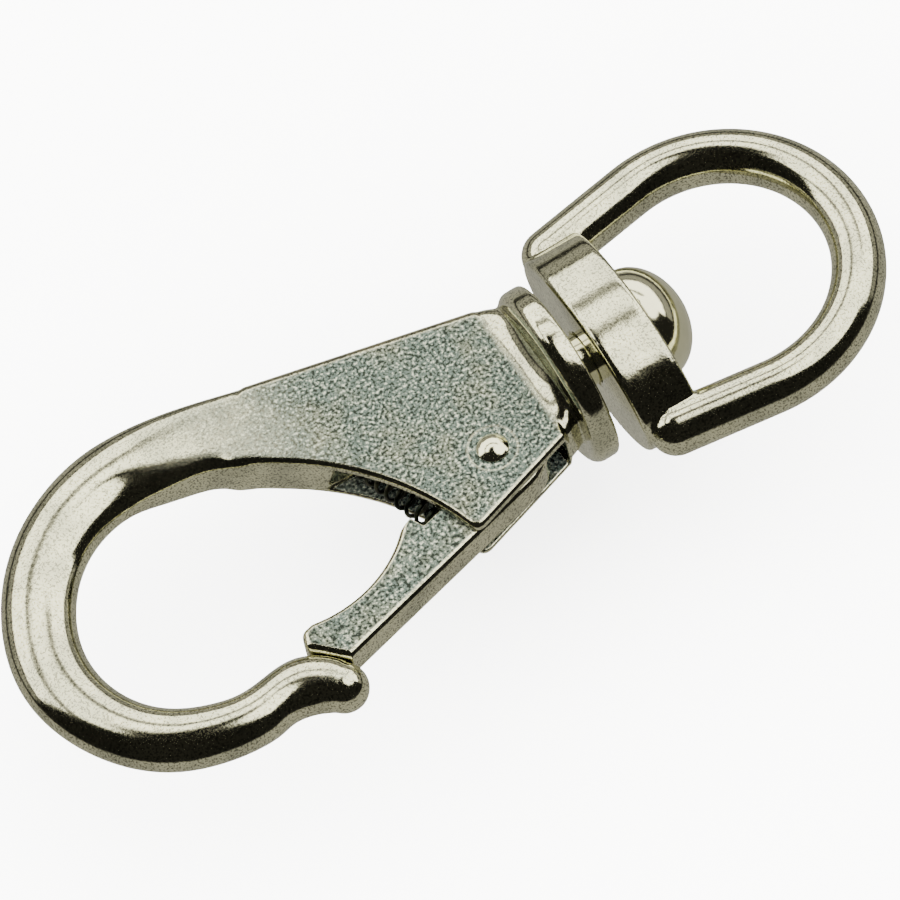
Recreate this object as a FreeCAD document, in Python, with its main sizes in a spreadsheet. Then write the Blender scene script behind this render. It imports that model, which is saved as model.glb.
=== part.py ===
"""Swivel-eye snap hook: cast hook body, sprung gate on a rivet, and an eye that turns on a headed stud.

Frame: X runs from the hook towards the eye, along the swivel.  Y runs across the hook towards its closed spine.
Z is square to the flat cheeks.  The origin is the middle of the whole part.  Millimetres.
"""

import FreeCAD, Part
import math
import os

import Sketcher
from FreeCAD import Placement, Rotation, Vector

X_AXIS, Y_AXIS, Z_AXIS = Vector(1, 0, 0), Vector(0, 1, 0), Vector(0, 0, 1)

# Driving dimensions: alias, value in mm or degrees, meaning.
DIMENSIONS = [
    ("plate_thick", 6.4, "cheeks, outside to outside"),
    ("spine_round", 1.7, "rounding along the spine edge of the cheeks"),
    ("mouth_round", 0.8, "rounding along the edges that the slot opens through"),
    ("spine_height", 14.0, "spine edge's height above the axis at X 0"),
    ("spine_slope", 14.7, "fall of the spine edge towards the eye, degrees"),
    ("gate_slope", 14.3, "slope of the gate's outer edge, degrees"),
    ("heel_slope", 17.7, "rise of the cheeks' gate-side edge towards the eye, degrees"),
    ("heel_round", 1.1, "rounding of that corner, seen along Z"),
    ("heel_x", -3.2, "corner between the inner edge and the gate-side edge"),
    ("heel_y", -12.7, "corner between the inner edge and the gate-side edge"),
    ("throat_x", -10.4, "middle of the inner edge"),
    ("throat_y", 1.65, "middle of the inner edge"),
    ("root_outer_x", -14.2, "where the bow's bar runs into the cheeks, spine side"),
    ("root_inner_x", -20.8, "where the bow's bar runs into the cheeks, inner side"),
    ("root_inner_y", 9.9, "where the bow's bar runs into the cheeks, inner side"),
    ("bar_thick", 5.6, "bow's bar along Z"),
    ("bow_x", -31.5, "centre of the bow"),
    ("bow_y", 0.3, "centre of the bow"),
    ("tip_x", -24.1, "centre of the rounded tip"),
    ("tip_y", -18.9, "centre of the rounded tip"),
    ("tip_radius", 2.75, "rounded tip"),
    ("neck_start", 9.6, "where the cheeks start to thicken into the neck"),
    ("neck_half_thick", 5.3, "half thickness of the neck at the collar"),
    ("axis_y", 0.35, "swivel axis above the origin"),
    ("collar_start", 12.8, "hook-side face of the collar"),
    ("collar_end", 15.8, "eye-side face of the collar"),
    ("collar_radius", 10.35, "collar"),
    ("collar_back_round", 1.2, "rounding on the collar's hook side"),
    ("collar_front_round", 0.5, "rounding on the collar's eye side"),
    ("slot_width", 4.3, "slot between the cheeks"),
    ("slot_top_x", -13.3, "slot's floor at the inner edge"),
    ("slot_top_y", 4.26, "slot's floor at the inner edge"),
    ("slot_end_x", 10.3, "end wall of the slot"),
    ("slot_end_y", 2.72, "slot's floor at its end wall"),
    ("pivot_x", 3.42, "gate rivet's axis"),
    ("pivot_y", -4.97, "gate rivet's axis"),
    ("rivet_radius", 1.3, "rivet's shank"),
    ("rivet_head_radius", 1.75, "rivet's formed heads"),
    ("rivet_head_height", 0.8, "rivet's formed heads"),
    ("dish_radius", 2.8, "shallow dish round each rivet head"),
    ("dish_depth", 0.15, "shallow dish round each rivet head"),
    ("gate_thick", 4.1, "gate along Z"),
    ("gate_back", 5.65, "rivet's axis to the gate's outer edge"),
    ("gate_round", 0.9, "rounding along the gate's arm"),
    ("nose_round", 1.0, "rounding of the nose's corners"),
    ("gate_heel_turn", 59.8, "where the gate's heel leaves the circle round the rivet, degrees"),
    ("gate_bore_radius", 1.36, "gate's hole for the rivet"),
    ("nose_heel_x", -27.5, "end face of the nose meets the outer edge, in the gate's own frame"),
    ("nose_toe_x", -29.95, "inner end of that face"),
    ("nose_toe_y", -1.0, "inner end of that face"),
    ("gate_seat_gap", 0.12, "nose above the tip with the gate shut"),
    ("spring_reach", 9.4, "rivet's axis to the spring's centre line"),
    ("spring_seat", 0.4, "spring seat below the rivet's axis"),
    ("spring_radius", 1.2, "coil, to the wire's centre"),
    ("wire_radius", 0.25, "spring wire"),
    ("spring_length", 13.6, "spring with the gate shut"),
    ("spring_turns", 10.0, "turns of the spring"),
    ("pocket_radius", 1.6, "blind pocket for the spring in the slot's floor"),
    ("stud_radius", 3.0, "stud's shank in the eye and the collar"),
    ("stud_shoulder_x", 12.6, "where the shank steps down to the tail"),
    ("tail_radius", 1.7, "stud's tail through the neck"),
    ("tail_head_radius", 2.3, "tail spread over inside the slot"),
    ("tail_head_length", 1.1, "tail spread over inside the slot"),
    ("stud_head_radius", 6.55, "domed head inside the eye"),
    ("stud_head_height", 5.1, "height of the domed head"),
    ("band_start", 17.9, "collar-side face of the eye's band"),
    ("band_end", 24.6, "inner face of the eye's band"),
    ("band_half_width", 13.0, "band along Y"),
    ("band_half_thick", 8.2, "band along Z"),
    ("band_round", 0.5, "rounding on the band's edges"),
    ("eye_bore_radius", 3.08, "band's bore on the stud"),
    ("eye_bar_radius", 2.95, "eye's round bar"),
    ("eye_bow_x", 34.6, "centre of the eye's bow"),
    ("eye_bow_radius", 14.95, "eye's bow, to the bar's centre"),
    ("eye_splay", 9.0, "slope of the eye's arms, degrees"),
    ("shoulder_x", 21.2, "rounded shoulders where the arms start"),
]

# Sections where the bar grows out of the cheeks: outer and inner corner, thickness, squareness (2 = ellipse).
ROOT_STATIONS = [
    ((-11.0, 16.75), (-18.3, 8.5), 6.3, 5.0),
    ((-15.4, 18.0), (-21.5, 10.2), 6.25, 4.6),
    ((-19.8, 19.5), (-24.1, 11.3), 6.0, 3.8),
    ((-24.6, 20.9), (-27.6, 12.0), 5.75, 2.9),
]
# The bow, round its centre: angle, radius of the centre line and width of the bar.
BOW_STATIONS = [
    (90, 16.8, 9.2), (110, 16.5, 8.6), (130, 16.3, 8.3), (155, 16.4, 8.1), (180, 17.0, 8.0),
    (205, 17.45, 7.5), (230, 17.65, 7.2), (250, 17.25, 6.7), (268, 16.75, 6.25),
]
# Sections of the neck: share of the way to the collar, share of the full swelling, squareness.
NECK_STATIONS = [(0.0, 0.0, 7.0), (0.4, 0.1, 5.0), (0.75, 0.42, 3.4), (1.03, 1.0, 2.2), (1.47, 2.2, 2.2)]
# Sections from the bow to the tip: centre and width.
TIP_STATIONS = [((-30.0, -16.1), 6.25), ((-27.1, -16.45), 6.7), ((-25.4, -17.5), 6.3)]
SECTION_POINTS = 32

doc = FreeCAD.newDocument("snap_hook")
sheet = doc.addObject("Spreadsheet::Sheet", "dims")
for row, (alias, value, meaning) in enumerate(DIMENSIONS, start=1):
    sheet.set(f"A{row}", meaning)
    sheet.set(f"B{row}", str(value))
    sheet.setAlias(f"B{row}", alias)
doc.recompute()


def dim(alias):
    """A driving dimension's value."""
    return float(sheet.get(alias))


def value(expression):
    """What an expression over the sheet comes to."""
    return float(sheet.evalExpression(expression))


def bind(obj, **expressions):
    """Tie properties to the sheet; a double underscore stands for a dot in the property's name."""
    for name, expression in expressions.items():
        obj.setExpression(name.replace("__", "."), expression)
    return obj


def primitive(kind, name, placement=None, **expressions):
    """A Part primitive whose sizes come from the sheet."""
    obj = doc.addObject(f"Part::{kind}", name)
    if placement:
        obj.Placement = placement
    return bind(obj, **expressions)


def along_axis(x):
    """Placement that lays a primitive's own Z along the swivel axis, starting at x."""
    return Placement(Vector(x, dim("axis_y"), 0), Rotation(Y_AXIS, 90))


def combine(kind, name, base, *tools):
    """Fuse or cut, with the tools joined first when there are several."""
    if kind == "Fuse":
        obj = doc.addObject("Part::MultiFuse", name)
        obj.Shapes = [base, *tools]
        obj.Refine = True
        return obj
    tool = tools[0]
    if len(tools) > 1:
        tool = doc.addObject("Part::MultiFuse", f"{name}_tools")
        tool.Shapes = list(tools)
    obj = doc.addObject("Part::Cut", name)
    obj.Base, obj.Tool = base, tool
    return obj


def round_edges(name, base, radius, chosen):
    """Part::Fillet on the edges of base that chosen(edge) picks."""
    doc.recompute()
    obj = doc.addObject("Part::Fillet", name)
    obj.Base = base
    picked = [n for n, edge in enumerate(base.Shape.Edges, start=1) if chosen(edge)]
    obj.Edges = [(n, radius, radius) for n in picked]
    return obj


def section(name, centre, across, width, thick, squareness):
    """A closed superellipse: width along across, thick along Z."""
    power = 2.0 / squareness
    points = []
    for k in range(SECTION_POINTS):
        angle = 2 * math.pi * k / SECTION_POINTS
        c, s = math.cos(angle), math.sin(angle)
        side = math.copysign(abs(c) ** power, c) * width / 2
        height = math.copysign(abs(s) ** power, s) * thick / 2
        points.append(centre + across * side + Z_AXIS * height)
    curve = Part.BSplineCurve()
    curve.interpolate(points, PeriodicFlag=True)
    obj = doc.addObject("Part::Feature", name)
    obj.Shape = Part.Wire([curve.toShape()])
    return obj


def loft(name, sections):
    obj = doc.addObject("Part::Loft", name)
    obj.Sections = sections
    obj.Solid = True
    obj.Ruled = False
    return obj


def origin_plane(body, role):
    return next(f for f in body.Origin.OriginFeatures if f.Role == role)


def profile_body(name, segments, placement=None, turned=False):
    """A PartDesign body with a closed sketch.

    Each segment is a list of corners, given as expressions for the sketch's two coordinates: two corners make a
    line and three make an arc through the middle one.  A turned profile's arcs have their centres on the axis.
    """
    body = doc.addObject("PartDesign::Body", name)
    if placement:
        body.Placement = placement
    sketch = body.newObject("Sketcher::SketchObject", f"{name}_profile")
    sketch.AttachmentSupport = [(origin_plane(body, "XY_Plane"), "")]
    sketch.MapMode = "FlatFace"
    for corners in segments:
        spots = [Vector(*(value(e) for e in corner), 0) for corner in corners]
        edge = Part.LineSegment(*spots) if len(spots) == 2 else Part.ArcOfCircle(*spots)
        geo = sketch.addGeometry(edge)
        if len(spots) == 3 and turned:
            sketch.addConstraint(Sketcher.Constraint("PointOnObject", geo, 3, -1))
        elif len(spots) == 3:
            sketch.addConstraint(Sketcher.Constraint("Radius", geo, edge.Radius))
    for geo, corners in enumerate(segments):
        following = (geo + 1) % len(segments)
        end, start = 2, 1
        if is_clockwise(corners):
            end = 1
        if is_clockwise(segments[following]):
            start = 2
        sketch.addConstraint(Sketcher.Constraint("Coincident", geo, end, following, start))
        first = 3 - end
        for axis, expression in zip(("DistanceX", "DistanceY"), corners[0]):
            index = sketch.addConstraint(Sketcher.Constraint(axis, geo, first, value(expression)))
            sketch.setExpression(f"Constraints[{index}]", expression)
    doc.recompute()
    return body, sketch


def is_clockwise(corners):
    """Whether a segment is a clockwise arc, which the sketcher stores from its last corner to its first."""
    if len(corners) == 2:
        return False
    first, through, last = (Vector(*(value(e) for e in corner), 0) for corner in corners)
    return (through - first).cross(last - first).z < 0


def pad(body, sketch, length):
    """Pad both ways from the sketch's plane."""
    feature = body.newObject("PartDesign::Pad", f"{body.Name}_pad")
    feature.Profile = sketch
    feature.Midplane = True
    feature.setExpression("Length", length)
    doc.recompute()
    return feature


def dress(body, name, base, radius, chosen):
    """PartDesign fillet on the edges of base that chosen(edge) picks."""
    picked = [f"Edge{n}" for n, edge in enumerate(base.Shape.Edges, start=1) if chosen(edge)]
    feature = body.newObject("PartDesign::Fillet", name)
    feature.Base = (base, picked)
    feature.setExpression("Radius", radius)
    doc.recompute()
    return feature


def middle(edge):
    return edge.valueAt(edge.FirstParameter + (edge.LastParameter - edge.FirstParameter) / 2)


# ---------------------------------------------------------------- hook body


def spine_y(x):
    return dim("spine_height") - math.tan(math.radians(dim("spine_slope"))) * x


def gate_side_y(x):
    return dim("heel_y") + math.tan(math.radians(dim("heel_slope"))) * (x - dim("heel_x"))


def cheeks():
    """The flat part of the casting, before the slot is cut."""
    neck = "dims.neck_start + 1"
    spine = "dims.spine_height - tan(dims.spine_slope) * ({})"
    gate_side = f"dims.heel_y + tan(dims.heel_slope) * ({neck} - dims.heel_x)"
    heel = ("dims.heel_x", "dims.heel_y")
    outline = [
        [(neck, spine.format(neck)), ("dims.root_outer_x", spine.format("dims.root_outer_x"))],
        [("dims.root_outer_x", spine.format("dims.root_outer_x")), ("dims.root_inner_x", "dims.root_inner_y")],
        [("dims.root_inner_x", "dims.root_inner_y"), ("dims.throat_x", "dims.throat_y"), heel],
        [heel, (neck, gate_side)],
        [(neck, gate_side), (neck, spine.format(neck))],
    ]
    body, sketch = profile_body("cheeks", outline)
    blank = pad(body, sketch, "dims.plate_thick")
    face_z = dim("plate_thick") / 2

    def on_heel(edge):
        corner = Vector(dim("heel_x"), dim("heel_y"), 0)
        return edge.BoundBox.ZLength > 1 and middle(edge).distanceToPoint(corner) < 0.01

    plate = dress(body, "heel_rounding", blank, "dims.heel_round", on_heel)

    def on_face(edge):
        return abs(abs(middle(edge).z) - face_z) < 0.01

    def on_spine(edge):
        spot = middle(edge)
        return on_face(edge) and abs(spot.y - spine_y(spot.x)) < 0.01

    def on_mouth(edge):
        spot = middle(edge)
        along_plate = dim("root_inner_x") + 1 < spot.x < dim("neck_start") + 0.9
        return on_face(edge) and along_plate and spot.y < 9

    spine_edges = dress(body, "spine_rounding", plate, "dims.spine_round", on_spine)
    dress(body, "mouth_rounding", spine_edges, "dims.mouth_round", on_mouth)
    return body


def bow():
    """The round bar of the hook, one loft from inside the cheeks to the tip."""
    sections = []
    for n, (outer, inner, thick, squareness) in enumerate(ROOT_STATIONS):
        outer, inner = Vector(*outer, 0), Vector(*inner, 0)
        across = outer - inner
        width = across.Length
        spot = (outer + inner) / 2
        sections.append(section(f"root_section_{n}", spot, across.normalize(), width, thick, squareness))
    centre = Vector(dim("bow_x"), dim("bow_y"), 0)
    for angle, radius, width in BOW_STATIONS:
        out = Rotation(Z_AXIS, angle).multVec(X_AXIS)
        spot = centre + out * radius
        sections.append(section(f"bow_section_{angle}", spot, out, width, dim("bar_thick"), 2.0))
    end = Vector(dim("tip_x"), dim("tip_y"), 0)
    spots = [Vector(*spot, 0) for spot, _ in TIP_STATIONS] + [end]
    widths = [width for _, width in TIP_STATIONS] + [2 * dim("tip_radius") - 0.2]
    for n, (spot, width) in enumerate(zip(spots, widths)):
        along = (spots[min(n + 1, len(spots) - 1)] - spots[max(n - 1, 0)]).normalize()
        thick = width if spot == end else dim("bar_thick")
        sections.append(section(f"tip_section_{n}", spot, along.cross(Z_AXIS), width, thick, 2.0))
    bar = loft("bow_bar", sections)
    ball = primitive("Sphere", "tip_end", Placement(end, Rotation()), Radius="dims.tip_radius")
    return bar, ball


def neck():
    """The cheeks swell into the collar; along the spine they run straight on to its rim."""
    start, end = dim("neck_start"), dim("collar_start")
    flat, full = dim("plate_thick"), 2 * dim("neck_half_thick")
    slices = []
    for n, (share, swell, squareness) in enumerate(NECK_STATIONS):
        x = start + share * (end - start)
        top = spine_y(x) - 0.1
        bottom = max(gate_side_y(x), dim("axis_y") - dim("collar_radius") + 0.25) + 0.1
        thick = flat - 0.05 + swell * (full - flat)
        spot = Vector(x, (top + bottom) / 2, 0)
        slices.append(section(f"neck_section_{n}", spot, Y_AXIS, top - bottom, thick, squareness))
    return loft("neck", slices)


def collar():
    disc = primitive("Cylinder", "collar_disc", along_axis(dim("collar_start")), Radius="dims.collar_radius",
                     Height="dims.collar_end - dims.collar_start")

    def rim_at(x):
        return lambda edge: edge.Closed and edge.BoundBox.XLength < 0.02 and abs(middle(edge).x - x) < 0.01

    back = round_edges("collar_back", disc, dim("collar_back_round"), rim_at(dim("collar_start")))
    return round_edges("collar_front", back, dim("collar_front_round"), rim_at(dim("collar_end")))


def slot_space():
    """The room between the cheeks, open along the inner edge and the gate-side edge."""
    low, left = "dims.heel_y - 4", "dims.slot_top_x - 3"
    outline = [
        [("dims.slot_top_x", "dims.slot_top_y"), ("dims.slot_end_x", "dims.slot_end_y")],
        [("dims.slot_end_x", "dims.slot_end_y"), ("dims.slot_end_x", low)],
        [("dims.slot_end_x", low), (left, low)],
        [(left, low), (left, "dims.slot_top_y")],
        [(left, "dims.slot_top_y"), ("dims.slot_top_x", "dims.slot_top_y")],
    ]
    body, sketch = profile_body("slot_space", outline)
    pad(body, sketch, "dims.slot_width")
    return body


def gate_frame():
    """Placement of the gate: its own X runs along the outer edge towards the eye, its origin on the rivet."""
    return Placement(Vector(dim("pivot_x"), dim("pivot_y"), 0), Rotation(Z_AXIS, dim("gate_slope")))


def spring_foot():
    """Where the spring stands on the gate, and the way it points."""
    frame = gate_frame()
    foot = frame.multVec(Vector(-dim("spring_reach"), -dim("spring_seat"), 0))
    return foot, frame.Rotation.multVec(Y_AXIS)


def upright(foot, along, lift=0.0):
    """Placement that turns a primitive's own Z to the direction along."""
    return Placement(foot + along * lift, Rotation(Z_AXIS, along))


def nose_room():
    """The block the gate's nose shuts into, a small gap wider than the nose on the tip's side."""
    frame = gate_frame()
    heel = frame.multVec(Vector(dim("nose_heel_x"), -dim("gate_back"), 0))
    toe = frame.multVec(Vector(dim("nose_toe_x"), dim("nose_toe_y"), 0))
    along = (toe - heel).normalize()
    inward = Z_AXIS.cross(along)
    if inward.dot(frame.Base - heel) < 0:
        inward = inward * -1
    upward = along.cross(inward)
    corner = heel - along * 3 - inward * dim("gate_seat_gap") - upward * 5
    block = primitive("Box", "nose_room", Placement(corner, Rotation(along, inward, upward, "XYZ")))
    block.Length, block.Width, block.Height = (toe - heel).Length + 3.5, 4, 10
    return block


def hook_body():
    bar, end = bow()
    solid = combine("Fuse", "hook_solid", cheeks(), bar, end, neck(), collar())
    foot, along = spring_foot()
    pivot = Vector(dim("pivot_x"), dim("pivot_y"), 0)
    through = Placement(pivot - Z_AXIS * dim("plate_thick"), Rotation())
    rivet_hole = primitive("Cylinder", "rivet_hole", through, Radius="dims.rivet_radius",
                           Height="2 * dims.plate_thick")
    dishes = []
    for side, turn in ((1, 0), (-1, 180)):
        spot = pivot + Z_AXIS * side * (dim("plate_thick") / 2 - dim("dish_depth"))
        dishes.append(primitive("Cylinder", "rivet_dish", Placement(spot, Rotation(X_AXIS, turn)),
                                Radius="dims.dish_radius", Height="2 * dims.dish_depth"))
    pocket = primitive("Cylinder", "spring_pocket", upright(foot, along), Radius="dims.pocket_radius",
                       Height="dims.spring_length + 0.1")
    stud_bore = primitive("Cylinder", "stud_bore", along_axis(dim("stud_shoulder_x")),
                          Radius="dims.stud_radius", Height="dims.collar_end")
    tail_bore = primitive("Cylinder", "tail_bore", along_axis(dim("slot_end_x") - 1),
                          Radius="dims.tail_radius", Height="dims.collar_end - dims.slot_end_x")
    body = combine("Cut", "hook_cut", solid, slot_space(), rivet_hole, *dishes, pocket, stud_bore, tail_bore,
                   nose_room())
    body.Label = "hook_body"
    return body


# ---------------------------------------------------------------- gate, rivet, spring


def gate():
    """Arm, heel round the rivet, spring notch, and the lobe that meets the slot's floor when the gate is open."""
    outer = "-dims.gate_back"
    seat = "-dims.spring_seat"
    nose_heel, nose_toe = ("dims.nose_heel_x", outer), ("dims.nose_toe_x", "dims.nose_toe_y")
    heel_end = ("dims.gate_back * cos(dims.gate_heel_turn)", "dims.gate_back * sin(dims.gate_heel_turn)")
    outline = [
        [nose_heel, ("0", outer)],
        [("0", outer), ("dims.gate_back", "0"), heel_end],
        [heel_end, ("-2.8", "7.65")],
        [("-2.8", "7.65"), ("-5.9", "6.95")],
        [("-5.9", "6.95"), ("-7.6", seat)],
        [("-7.6", seat), ("-11.1", seat)],
        [("-11.1", seat), ("-11.4", "1.4")],
        [("-11.4", "1.4"), ("-13.2", "1.25")],
        [("-13.2", "1.25"), ("-20.5", "-0.87"), ("-27.3", "0.65")],
        [("-27.3", "0.65"), ("-28.8", "0.65")],
        [("-28.8", "0.65"), nose_toe],
        [nose_toe, nose_heel],
    ]
    body, sketch = profile_body("gate", outline, gate_frame())
    blank = pad(body, sketch, "dims.gate_thick")
    face_z = dim("gate_thick") / 2

    def on_corner(edge):
        spot = middle(edge)
        return abs(spot.z) < 0.01 and edge.BoundBox.ZLength > 1 and spot.x < -27.9 and spot.y > -2

    def on_arm(edge):
        spot = middle(edge)
        return abs(abs(spot.z) - face_z) < 0.01 and (spot.x < -14 or spot.y < -5.1)

    softened = dress(body, "nose_rounding", blank, "dims.nose_round", on_corner)
    rounded = dress(body, "gate_rounding", softened, "dims.gate_round", on_arm)
    bore_sketch = body.newObject("Sketcher::SketchObject", "gate_bore_profile")
    bore_sketch.AttachmentSupport = [(origin_plane(body, "XY_Plane"), "")]
    bore_sketch.MapMode = "FlatFace"
    circle = bore_sketch.addGeometry(Part.Circle(Vector(), Z_AXIS, dim("gate_bore_radius")))
    bore_sketch.addConstraint(Sketcher.Constraint("Coincident", circle, 3, -1, 1))
    size = bore_sketch.addConstraint(Sketcher.Constraint("Radius", circle, dim("gate_bore_radius")))
    bore_sketch.setExpression(f"Constraints[{size}]", "dims.gate_bore_radius")
    bore = body.newObject("PartDesign::Pocket", "gate_bore")
    bore.Profile = bore_sketch
    bore.Midplane = True
    bore.setExpression("Length", "2 * dims.gate_thick")
    doc.recompute()
    if bore.Shape.Volume >= rounded.Shape.Volume:
        raise RuntimeError("the gate's bore cuts nothing")
    body.Label = "gate"
    return body


def cap_middle(rim, radius, end):
    """A point on the round cap, centred on the axis, that runs from the rim's circle to the end on the axis."""
    height = abs(end - rim)
    ball = (radius ** 2 + height ** 2) / (2 * height)
    half = math.atan2(radius, ball - height) / 2
    side = math.copysign(1, end - rim)
    return str(end - side * ball * (1 - math.cos(half))), str(ball * math.sin(half))


def revolved(name, segments):
    """A PartDesign body turned about the row's X axis."""
    body, sketch = profile_body(name, segments, turned=True)
    turned = body.newObject("PartDesign::Revolution", f"{name}_turned")
    turned.Profile = sketch
    turned.ReferenceAxis = (sketch, ["H_Axis"])
    turned.Angle = 360
    doc.recompute()
    return body


def gate_rivet():
    """A pin through both cheeks with a domed head on each; turned about X, then stood up along Z."""
    face = "dims.plate_thick / 2 - dims.dish_depth"
    end = f"{face} + dims.rivet_head_height"
    head, shank = "dims.rivet_head_radius", "dims.rivet_radius"
    rim = f"{face} + 0.15"
    rim_z, end_z = value(rim), value(end)
    bulge = cap_middle(rim_z, value(head), end_z)
    low_bulge = cap_middle(-rim_z, value(head), -end_z)
    half = [
        [(f"-({end})", "0"), low_bulge, (f"-({rim})", head)],
        [(f"-({rim})", head), (f"-({face})", head)],
        [(f"-({face})", head), (f"-({face})", shank)],
        [(f"-({face})", shank), (face, shank)],
        [(face, shank), (face, head)],
        [(face, head), (rim, head)],
        [(rim, head), bulge, (end, "0")],
        [(end, "0"), (f"-({end})", "0")],
    ]
    body = revolved("gate_rivet", half)
    body.Placement = Placement(Vector(dim("pivot_x"), dim("pivot_y"), 0), Rotation(Y_AXIS, -90))
    body.Label = "gate_rivet"
    return body


def gate_spring():
    """Compression coil between the gate's notch and the pocket in the slot's floor."""
    foot, along = spring_foot()
    wire_radius, radius = dim("wire_radius"), dim("spring_radius")
    turns = dim("spring_turns")
    rise = dim("spring_length") - 2 * wire_radius - 0.1
    helix = Part.makeLongHelix(rise / turns, rise, radius)
    profile = Part.Wire([Part.makeCircle(wire_radius, Vector(radius, 0, 0), Y_AXIS)])
    coil = Part.Wire(helix.Edges).makePipeShell([profile], True, True)
    spring = doc.addObject("Part::Feature", "gate_spring")
    spring.Shape = coil
    spring.Placement = upright(foot, along, wire_radius + 0.05)
    spring.Label = "gate_spring"
    return spring


# ---------------------------------------------------------------- eye and stud


def swivel_eye():
    """A round bar bent to a loop, whose arms end in an oval band bored for the stud."""
    splay = math.radians(dim("eye_splay"))
    bow_x, bow_radius = dim("eye_bow_x"), dim("eye_bow_radius")
    turn_x, turn_y = bow_x - bow_radius * math.sin(splay), bow_radius * math.cos(splay)
    arm_y = turn_y - (turn_x - dim("shoulder_x")) * math.tan(splay)
    axis = Y_AXIS * dim("axis_y")
    top, bottom = axis + Vector(turn_x, turn_y, 0), axis + Vector(turn_x, -turn_y, 0)
    far = axis + Vector(bow_x + bow_radius, 0, 0)
    start, end = axis + Vector(dim("shoulder_x"), arm_y, 0), axis + Vector(dim("shoulder_x"), -arm_y, 0)
    path = doc.addObject("Part::Feature", "eye_path")
    path.Shape = Part.Wire([
        Part.LineSegment(start, top).toShape(),
        Part.Arc(top, far, bottom).toShape(),
        Part.LineSegment(bottom, end).toShape(),
    ])
    ring = primitive("Circle", "eye_section", Placement(start, Rotation(Z_AXIS, top - start)),
                     Radius="dims.eye_bar_radius")
    bar = doc.addObject("Part::Sweep", "eye_bar")
    bar.Sections = [ring]
    bar.Spine = (path, ["Edge1", "Edge2", "Edge3"])
    bar.Solid = True
    shoulders = [
        primitive("Sphere", f"eye_shoulder_{n}", Placement(spot, Rotation()), Radius="dims.eye_bar_radius")
        for n, spot in enumerate((start, end))
    ]
    across = Placement(axis + X_AXIS * dim("band_start"), Rotation(Y_AXIS, Z_AXIS, X_AXIS, "XYZ"))
    oval = primitive("Ellipse", "band_section", across, MajorRadius="dims.band_half_width",
                     MinorRadius="dims.band_half_thick")
    band = doc.addObject("Part::Extrusion", "band_blank")
    band.Base = oval
    band.DirMode = "Custom"
    band.Dir = X_AXIS
    band.Solid = True
    band.setExpression("LengthFwd", "dims.band_end - dims.band_start")
    rounded = round_edges("band", band, dim("band_round"), lambda edge: edge.Closed)
    solid = combine("Fuse", "eye_solid", bar, *shoulders, rounded)
    bore = primitive("Cylinder", "eye_bore", along_axis(dim("band_start") - 1), Radius="dims.eye_bore_radius",
                     Height="dims.band_end - dims.band_start + 2")
    eye = combine("Cut", "eye_cut", solid, bore)
    eye.Label = "swivel_eye"
    return eye


def swivel_stud():
    """Domed head, shank, and a tail spread over inside the slot and flattened between the cheeks."""
    face = "dims.band_end + 0.1"
    dome = primitive("Ellipsoid", "stud_head", along_axis(value(face)), Radius1="dims.stud_head_height",
                     Radius2="dims.stud_head_radius", Radius3="dims.stud_head_radius")
    dome.Angle1 = 0
    shank = primitive("Cylinder", "stud_shank", along_axis(dim("stud_shoulder_x")), Radius="dims.stud_radius",
                      Height=f"{face} + 0.5 - dims.stud_shoulder_x")
    tail = primitive("Cylinder", "stud_tail", along_axis(dim("slot_end_x") - 0.5), Radius="dims.tail_radius",
                     Height="dims.stud_shoulder_x - dims.slot_end_x + 1")
    spread = primitive("Cylinder", "tail_spread", along_axis(dim("slot_end_x") - dim("tail_head_length")),
                       Radius="dims.tail_head_radius", Height="dims.tail_head_length")
    corner = Vector(dim("slot_end_x") - 5, -10, -dim("slot_width") / 2 + 0.05)
    room = primitive("Box", "tail_room", Placement(corner, Rotation()), Height="dims.slot_width - 0.1")
    room.Length, room.Width = 5.5, 20
    pressed = doc.addObject("Part::Common", "tail_pressed")
    pressed.Base, pressed.Tool = spread, room
    stud = combine("Fuse", "stud_whole", dome, shank, tail, pressed)
    stud.Label = "swivel_stud"
    return stud


# ---------------------------------------------------------------- build, check, export

pieces = [hook_body(), gate(), gate_rivet(), gate_spring(), swivel_eye(), swivel_stud()]
doc.recompute()

for obj in doc.Objects:
    if "Invalid" in obj.State or "Error" in obj.State:
        raise RuntimeError(f"{obj.Name} did not build: {obj.State}")
for piece in pieces:
    shape = piece.Shape
    if shape.isNull() or not shape.isValid() or len(shape.Solids) != 1:
        raise RuntimeError(f"{piece.Label} is not one valid solid ({len(shape.Solids)} solids)")

os.makedirs("parts", exist_ok=True)
for piece in pieces:
    piece.Shape.exportStep(os.path.join("parts", f"{piece.Label}.step"))
    box = piece.Shape.optimalBoundingBox()
    print(f"{piece.Label}: {piece.Shape.Volume:.1f} mm3, X {box.XMin:.2f}..{box.XMax:.2f}, "
          f"Y {box.YMin:.2f}..{box.YMax:.2f}, Z {box.ZMin:.2f}..{box.ZMax:.2f}")
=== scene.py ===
"""Swivel-eye snap hook in cast and polished stainless steel, on a pale studio floor."""

import math

import bpy
from mathutils import Matrix, Vector


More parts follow.
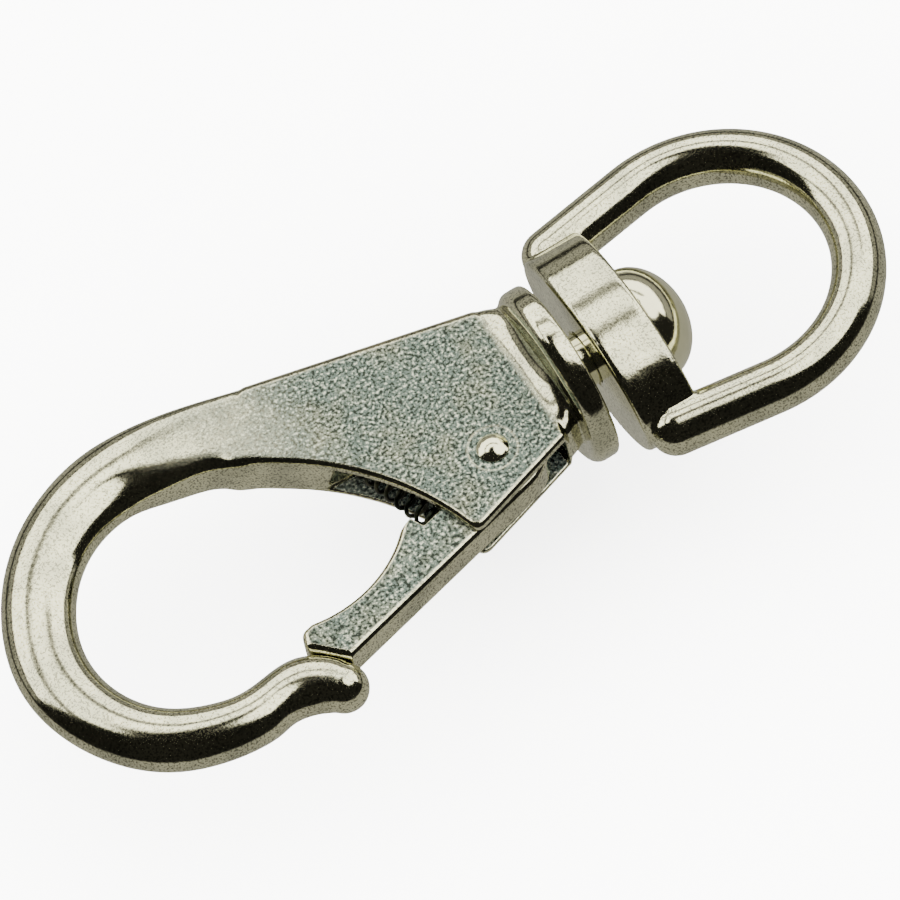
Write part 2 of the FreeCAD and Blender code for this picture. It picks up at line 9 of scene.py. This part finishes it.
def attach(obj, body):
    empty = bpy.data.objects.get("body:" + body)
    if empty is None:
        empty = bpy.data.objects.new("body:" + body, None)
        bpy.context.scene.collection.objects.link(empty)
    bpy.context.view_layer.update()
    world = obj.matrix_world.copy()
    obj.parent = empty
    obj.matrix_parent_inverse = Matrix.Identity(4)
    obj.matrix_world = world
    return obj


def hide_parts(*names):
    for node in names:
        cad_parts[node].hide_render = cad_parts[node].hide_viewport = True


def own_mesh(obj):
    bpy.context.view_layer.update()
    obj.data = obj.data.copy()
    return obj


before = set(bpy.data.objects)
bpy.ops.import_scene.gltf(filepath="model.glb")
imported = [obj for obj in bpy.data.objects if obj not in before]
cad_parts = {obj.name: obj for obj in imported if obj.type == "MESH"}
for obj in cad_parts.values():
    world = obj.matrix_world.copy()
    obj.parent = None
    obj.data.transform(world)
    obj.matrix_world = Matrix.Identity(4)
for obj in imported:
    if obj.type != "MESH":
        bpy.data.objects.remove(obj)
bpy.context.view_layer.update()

MM = 0.001

# ---------------------------------------------------------------- helpers


def add_object(name, data):
    """A new object that holds the data, in the scene."""
    obj = bpy.data.objects.new(name, data)
    bpy.context.scene.collection.objects.link(obj)
    return obj


def finished_mesh(piece):
    """The piece's mesh with its modifiers applied."""
    bpy.context.view_layer.update()
    return bpy.data.meshes.new_from_object(piece.evaluated_get(bpy.context.evaluated_depsgraph_get()))


class Shader:
    """Builds one node tree.  add returns the node it makes, and the other calls return an output socket."""

    def __init__(self, tree):
        self.tree = tree
        tree.nodes.clear()

    def add(self, kind, settings=None, **inputs):
        """Sockets are given by name with _ for a space, or by number as i0, i1 and so on."""
        node = self.tree.nodes.new(kind)
        for name, value in (settings or {}).items():
            setattr(node, name, value)
        for name, value in inputs.items():
            key = int(name[1:]) if name[0] == "i" and name[1:].isdigit() else name.replace("_", " ")
            socket = node.inputs[key]
            if isinstance(value, bpy.types.NodeSocket):
                self.tree.links.new(value, socket)
            else:
                socket.default_value = value
        return node

    def math(self, operation, a, b=0.0):
        return self.add("ShaderNodeMath", {"operation": operation}, i0=a, i1=b).outputs[0]

    def dot(self, a, b):
        return self.add("ShaderNodeVectorMath", {"operation": "DOT_PRODUCT"}, i0=a, i1=b).outputs["Value"]

    def step(self, value, low, high, to_low=0.0, to_high=1.0):
        """Smooth step from to_low to to_high while value goes from low to high."""
        node = self.add("ShaderNodeMapRange", {"interpolation_type": "SMOOTHSTEP"}, Value=value, From_Min=low,
                        From_Max=high, To_Min=to_low, To_Max=to_high)
        return node.outputs["Result"]

    def mix(self, factor, a, b):
        """Colour a to colour b by factor."""
        node = self.add("ShaderNodeMix", {"data_type": "RGBA"}, i0=factor, i6=a, i7=b)
        return node.outputs[2]

    def noise(self, where, size_mm, detail=2.0, roughness=0.5):
        """Noise between 0 and 1 whose blotches are about size_mm wide."""
        node = self.add("ShaderNodeTexNoise", Vector=where, Scale=1.0 / (size_mm * MM), Detail=detail,
                        Roughness=roughness)
        return node.outputs["Fac"]


# ---------------------------------------------------------------- materials

# Polished metal in its pale and its olive clouds, the moulded skin of the flat faces in the same two clouds, a
# painted highlight on the peaks of the skin's relief, and painted shade, near black, in the pits of either and on the
# spring's wire in its shaded slot.
PALE_STEEL = (0.78, 0.77, 0.56, 1)
OLIVE_STEEL = (0.52, 0.52, 0.39, 1)
SKIN_WARM = (0.12, 0.13, 0.095, 1)
SKIN_TEAL = (0.08, 0.105, 0.09, 1)
SKIN_PAINTED_HIGHLIGHT = (0.46, 0.48, 0.38, 1)
PAINTED_SHADE_STEEL = (0.012, 0.016, 0.012, 1)

# Roughness of the smoothest metal, what the speckle adds to it, and what the moulded skin adds.
POLISH, SPECKLE_ROUGHNESS, SKIN_ROUGHNESS = 0.06, 0.08, 0.22
# The skin is a little less metallic than the polished bars, and has a coarse relief of this strength.
SKIN_METAL, SKIN_GRAIN = 0.88, 0.7
# The hook's collar is polished: the skin fades out over SKIN_FADE and is gone at COLLAR_X.
COLLAR_X = 11.5 * MM
SKIN_FADE = 1.5 * MM


def cast_steel(name, flat_from=None, flat_to=None):
    """Investment-cast stainless: polished by tumbling, with fine speckle all over, its hollows darkened with painted
    shade.  The faces square to Z keep the coarse grain of the mould, with a painted highlight on its peaks and
    painted shade in its pits; flat_from and flat_to are the X, in metres, over which that grain fades in."""
    material = bpy.data.materials.new(name)
    material.use_nodes = True
    s = Shader(material.node_tree)
    coords = s.add("ShaderNodeTexCoord")
    where = coords.outputs["Object"]
    facing = s.add("ShaderNodeSeparateXYZ", Vector=coords.outputs["Normal"]).outputs["Z"]
    rough_face = s.step(s.math("ABSOLUTE", facing), 0.93, 0.99)
    if flat_from is not None:
        x = s.add("ShaderNodeSeparateXYZ", Vector=where).outputs["X"]
        rough_face = s.math("MULTIPLY", rough_face, s.step(x, flat_from, flat_to))
        rough_face = s.math("MULTIPLY", rough_face, s.step(x, COLLAR_X, COLLAR_X - SKIN_FADE))

    speckle = s.noise(where, 0.24, detail=2.0, roughness=0.7)
    coarse = s.noise(where, 0.36, detail=2.0, roughness=0.6)
    cloud = s.noise(where, 5.0, detail=4.0, roughness=0.6)

    bars = s.mix(s.step(cloud, 0.35, 0.70), PALE_STEEL, OLIVE_STEEL)
    # Dark specks in the hollows of the fine speckle: painted shade.
    bars = s.mix(s.math("MULTIPLY", s.step(speckle, 0.52, 0.38), 0.6), bars, PAINTED_SHADE_STEEL)
    face = s.mix(s.step(cloud, 0.30, 0.55), SKIN_WARM, SKIN_TEAL)
    # Lighter on the peaks of the coarse relief: a painted highlight.
    face = s.mix(s.step(coarse, 0.54, 0.70), face, SKIN_PAINTED_HIGHLIGHT)
    # Near black in the pits of the coarse relief: painted shade.
    face = s.mix(s.step(coarse, 0.49, 0.40), face, PAINTED_SHADE_STEEL)
    colour = s.mix(rough_face, bars, face)
    roughness = s.math("ADD", POLISH, s.math("MULTIPLY", speckle, SPECKLE_ROUGHNESS))
    roughness = s.math("ADD", roughness, s.math("MULTIPLY", rough_face, SKIN_ROUGHNESS))

    fine = s.add("ShaderNodeBump", Strength=0.22, Distance=0.02 * MM, Height=speckle)
    depth = s.math("MULTIPLY", rough_face, SKIN_GRAIN)
    deep = s.add("ShaderNodeBump", Strength=depth, Distance=0.10 * MM, Height=coarse, Normal=fine.outputs[0])
    metal = s.step(rough_face, 0.0, 1.0, 1.0, SKIN_METAL)
    bsdf = s.add("ShaderNodeBsdfPrincipled", Metallic=metal, Base_Color=colour, Roughness=roughness,
                 Normal=deep.outputs[0])
    s.add("ShaderNodeOutputMaterial", Surface=bsdf.outputs[0])
    return material


def turned_steel(name, axis, tone=PALE_STEEL, polish=POLISH):
    """Turned or drawn steel: faint rings round the axis and a soft polish."""
    material = bpy.data.materials.new(name)
    material.use_nodes = True
    s = Shader(material.node_tree)
    where = s.add("ShaderNodeTexCoord").outputs["Object"]
    along = s.dot(where, axis)
    rings = s.add("ShaderNodeTexNoise", {"noise_dimensions": "1D"}, W=along, Scale=1.0 / (0.15 * MM), Detail=3.0)
    speckle = s.noise(where, 0.25, detail=3.0, roughness=0.7)
    roughness = s.math("ADD", polish, s.math("MULTIPLY", speckle, SPECKLE_ROUGHNESS))
    colour = s.mix(s.step(s.noise(where, 3.0), 0.4, 0.8, 0.0, 0.4), tone, OLIVE_STEEL)
    marks = s.add("ShaderNodeBump", Strength=0.2, Distance=0.008 * MM, Height=rings.outputs[0])
    bump = s.add("ShaderNodeBump", Strength=0.3, Distance=0.015 * MM, Height=speckle, Normal=marks.outputs[0])
    bsdf = s.add("ShaderNodeBsdfPrincipled", Metallic=1.0, Base_Color=colour, Roughness=roughness,
                 Normal=bump.outputs[0])
    s.add("ShaderNodeOutputMaterial", Surface=bsdf.outputs[0])
    return material


HOOK_STEEL = cast_steel("hook_cast_steel", flat_from=-32 * MM, flat_to=-8 * MM)
GATE_STEEL = cast_steel("gate_cast_steel")
# The eye is polished all over, so its grain would fade in only where the eye doesn't reach.
EYE_STEEL = cast_steel("eye_cast_steel", flat_from=0.9, flat_to=1.0)
STUD_STEEL = turned_steel("stud_turned_steel", (1, 0, 0))
RIVET_STEEL = turned_steel("rivet_turned_steel", (0, 0, 1))
# The spring's wire is painted near black: painted shade, as it sits deep in the slot.
SHADED_WIRE_STEEL = turned_steel("spring_wire_painted_shade", (0, 1, 0), tone=PAINTED_SHADE_STEEL, polish=0.30)

# ---------------------------------------------------------------- pieces

MELT_PASSES = 80
# Where the spine of the bow runs into the cheeks, as x, y and radius: the casting has no edge there.
SPINE_ROOT = (-20.8 * MM, 9.9 * MM, 5 * MM)


def melt(piece, spots):
    """Smooths the piece further round each spot (x, y, radius)."""
    group = piece.vertex_groups.new(name="melt")
    for vertex in piece.data.vertices:
        weight = max(1 - math.hypot(vertex.co.x - x, vertex.co.y - y) / radius for x, y, radius in spots)
        if weight > 0:
            group.add([vertex.index], min(1.0, 2 * weight), "REPLACE")
    relax = piece.modifiers.new("melt", "SMOOTH")
    relax.factor = 0.5
    relax.iterations = MELT_PASSES
    relax.vertex_group = group.name
    mesh = finished_mesh(piece)
    piece.modifiers.clear()
    piece.vertex_groups.clear()
    piece.data = mesh


def soft_copy(node, body, material, voxel, passes, melted=()):
    """Stands for a CAD node: the same shape, remade as an even mesh and tumbled smooth along its edges."""
    piece = add_object(f"{node}_finish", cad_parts[node].data.copy())
    remesh = piece.modifiers.new("even", "REMESH")
    remesh.mode = "VOXEL"
    remesh.voxel_size = voxel
    tumble = piece.modifiers.new("tumble", "SMOOTH")
    tumble.factor = 0.5
    tumble.iterations = passes
    tumbled = finished_mesh(piece)
    piece.modifiers.clear()
    piece.data = tumbled
    if melted:
        melt(piece, melted)
    finished = piece.data
    finished.materials.clear()
    finished.materials.append(material)
    finished.shade_smooth()
    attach(piece, body)
    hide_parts(node)


soft_copy("hook_body", "hook", HOOK_STEEL, 0.18 * MM, 12, melted=[SPINE_ROOT])
soft_copy("gate", "gate", GATE_STEEL, 0.12 * MM, 8)
soft_copy("swivel_eye", "eye", EYE_STEEL, 0.18 * MM, 12)
soft_copy("swivel_stud", "hook", STUD_STEEL, 0.12 * MM, 8)
soft_copy("gate_rivet", "hook", RIVET_STEEL, 0.05 * MM, 8)

# The spring's two seats: on the shut gate, and at the end of its pocket in the slot's floor.
SPRING_FOOT = Vector((-5.59, -7.68, 0)) * MM
SPRING_END = Vector((-8.95, 5.50, 0)) * MM
COIL_RADIUS = 1.2 * MM
WIRE_RADIUS = 0.25 * MM
SEAT_GAP = 1.1 * WIRE_RADIUS     # from each seat to the middle of the wire that rests on it
CLOSED_RISE = 2.1 * WIRE_RADIUS  # of the closed turn at each end
TURNS = 10
STEPS_PER_TURN = 20


def coil_spring():
    """A coil with a closed turn at each end, set between its two seats with the gate shut."""
    along = (SPRING_END - SPRING_FOOT).normalized()
    across = Vector((0, 0, 1))
    other = along.cross(across)
    length = (SPRING_END - SPRING_FOOT).length - 2 * SEAT_GAP
    pitch = (length - 2 * CLOSED_RISE) / (TURNS - 2)
    curve = bpy.data.curves.new("gate_spring_coil", "CURVE")
    curve.dimensions = "3D"
    curve.bevel_depth = WIRE_RADIUS
    curve.bevel_resolution = 3
    curve.use_fill_caps = True
    spline = curve.splines.new("POLY")
    spline.points.add(TURNS * STEPS_PER_TURN)
    for n, point in enumerate(spline.points):
        turn = n / STEPS_PER_TURN
        closed_turns = min(turn, 1) + max(turn - TURNS + 1, 0)
        open_turns = min(max(turn - 1, 0), TURNS - 2)
        rise = SEAT_GAP + CLOSED_RISE * closed_turns + pitch * open_turns
        angle = 2 * math.pi * turn
        spot = SPRING_FOOT + along * rise
        spot = spot + (across * math.cos(angle) + other * math.sin(angle)) * COIL_RADIUS
        point.co = (*spot, 1)
    shape = add_object("coil_shape", curve)
    mesh = finished_mesh(shape)
    bpy.data.objects.remove(shape)
    mesh.materials.append(SHADED_WIRE_STEEL)
    mesh.shade_smooth()
    piece = add_object("gate_spring_coil", mesh)
    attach(piece, "hook")
    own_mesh(piece)
    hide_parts("gate_spring")


coil_spring()

# ---------------------------------------------------------------- studio

# The floor lies just below the sweep of the eye as it turns on the stud.
FLOOR_Z = -18.6 * MM
FLOOR_REACH = 3.0
FLOOR_TONES = (0.93, 0.93, 0.92, 1), (0.95, 0.95, 0.94, 1)


def floor():
    """The pale table.  It stays out of the metal's mirror images, which show the dimmer room below the boxes."""
    material = bpy.data.materials.new("studio_floor")
    material.use_nodes = True
    s = Shader(material.node_tree)
    where = s.add("ShaderNodeTexCoord").outputs["Object"]
    tone = s.mix(s.noise(where, 40.0), *FLOOR_TONES)
    bsdf = s.add("ShaderNodeBsdfPrincipled", Base_Color=tone, Roughness=0.8, Specular_IOR_Level=0.1)
    s.add("ShaderNodeOutputMaterial", Surface=bsdf.outputs[0])
    mesh = bpy.data.meshes.new("studio_floor")
    corners = [(x * FLOOR_REACH, y * FLOOR_REACH, FLOOR_Z) for x, y in ((-1, -1), (1, -1), (1, 1), (-1, 1))]
    mesh.from_pydata(corners, [], [(0, 1, 2, 3)])
    mesh.materials.append(material)
    obj = add_object("studio_floor", mesh)
    obj.visible_glossy = False


# Brightness, as the metal mirrors it, of the boxes, the wall, the table and the dark room, and of the even wash on
# the floor.
BOX, WALL, TABLE, ROOM, WASH = 3.8, 0.40, 0.45, 0.02, 12.0
# Towards the hook's spine, and towards the middle of the top box.
SPINE_WARD = (0.39, 0.92, 0.0)
TOP_WARD = Vector((0.45, -0.10, 0.89)).normalized()
# Sines of the elevations of the wide box's lower rim, of the seam between its halves and of its upper edge.
RIM, SEAM, UPPER_EDGE = 0.32, 0.79, 0.96
BOX_COLOUR = (1.0, 0.975, 0.84, 1)
WASH_COLOUR = (1.0, 1.0, 0.99, 1)


def studio_light():
    """Soft boxes and dark gaps painted on the world, so that the metal has something to mirror.  Only mirror rays see
    them: the rest is lit by an even wash."""
    world = bpy.data.worlds.new("studio")
    bpy.context.scene.world = world
    world.use_nodes = True
    # With importance sampling on, the wash would veil what the metal mirrors.
    world.cycles.sampling_method = "NONE"
    s = Shader(world.node_tree)
    ray = s.add("ShaderNodeTexCoord").outputs["Generated"]
    height = s.add("ShaderNodeSeparateXYZ", Vector=ray).outputs["Z"]
    # The wide box stands on the spine's side and reaches nearly to the zenith, with a dark seam where its two halves
    # meet and a dim wall below its lower rim.
    spine_side = s.step(s.dot(ray, SPINE_WARD), 0.00, 0.07)
    wide = s.math("MULTIPLY", spine_side, s.step(height, RIM, RIM + 0.05))
    wide = s.math("MULTIPLY", wide, s.step(height, UPPER_EDGE, UPPER_EDGE - 0.04))
    seam = s.math("ABSOLUTE", s.math("SUBTRACT", height, SEAM))
    wide = s.math("MULTIPLY", wide, s.step(seam, 0.02, 0.05, 0.12, 1.0))
    wall = s.math("MULTIPLY", spine_side, s.step(height, RIM - 0.03, RIM - 0.06))
    wall = s.math("MULTIPLY", wall, s.step(height, 0.00, 0.08))
    # The top box is round and hangs over the eye.
    top = s.step(s.dot(ray, TOP_WARD), 0.905, 0.925)
    lit = s.math("MAXIMUM", wide, top)
    below = s.step(height, -0.04, -0.16)
    amount = s.math("ADD", s.math("MULTIPLY", lit, BOX), s.math("MULTIPLY", below, TABLE))
    amount = s.math("ADD", amount, s.math("MULTIPLY", wall, WALL))
    amount = s.math("ADD", amount, ROOM)
    studio = s.add("ShaderNodeBackground", Color=BOX_COLOUR, Strength=amount)
    plain = s.add("ShaderNodeBackground", Color=WASH_COLOUR, Strength=WASH)
    mirrored = s.add("ShaderNodeLightPath").outputs["Is Glossy Ray"]
    both = s.add("ShaderNodeMixShader", i0=mirrored, i1=plain.outputs[0], i2=studio.outputs[0])
    s.add("ShaderNodeOutputWorld", Surface=both.outputs[0])


# Directions of the view, the picture's right and up, and what it shows.
VIEW_RIGHT = Vector((0.846, -0.516, -0.135))
VIEW_UP = Vector((0.508, 0.703, 0.497))
VIEW_WIDTH = 95.3 * MM
VIEW_CENTRE = VIEW_RIGHT * (0.54 * MM) - VIEW_UP * (0.42 * MM)
LENS_MM = 1500.0
SENSOR_MM = 36.0


def camera():
    """Looks square at the view from so far off that it is nearly parallel."""
    data = bpy.data.cameras.new("camera")
    data.sensor_width = SENSOR_MM
    data.lens = LENS_MM
    data.clip_start = 0.01
    data.clip_end = 40.0
    cam = add_object("camera", data)
    distance = VIEW_WIDTH * LENS_MM / SENSOR_MM
    right = VIEW_RIGHT.normalized()
    back = right.cross(VIEW_UP).normalized()
    turn = Matrix((right, back.cross(right), back)).transposed()
    cam.matrix_world = Matrix.Translation(VIEW_CENTRE + back * distance) @ turn.to_4x4()
    bpy.context.scene.camera = cam


floor()
studio_light()
camera()
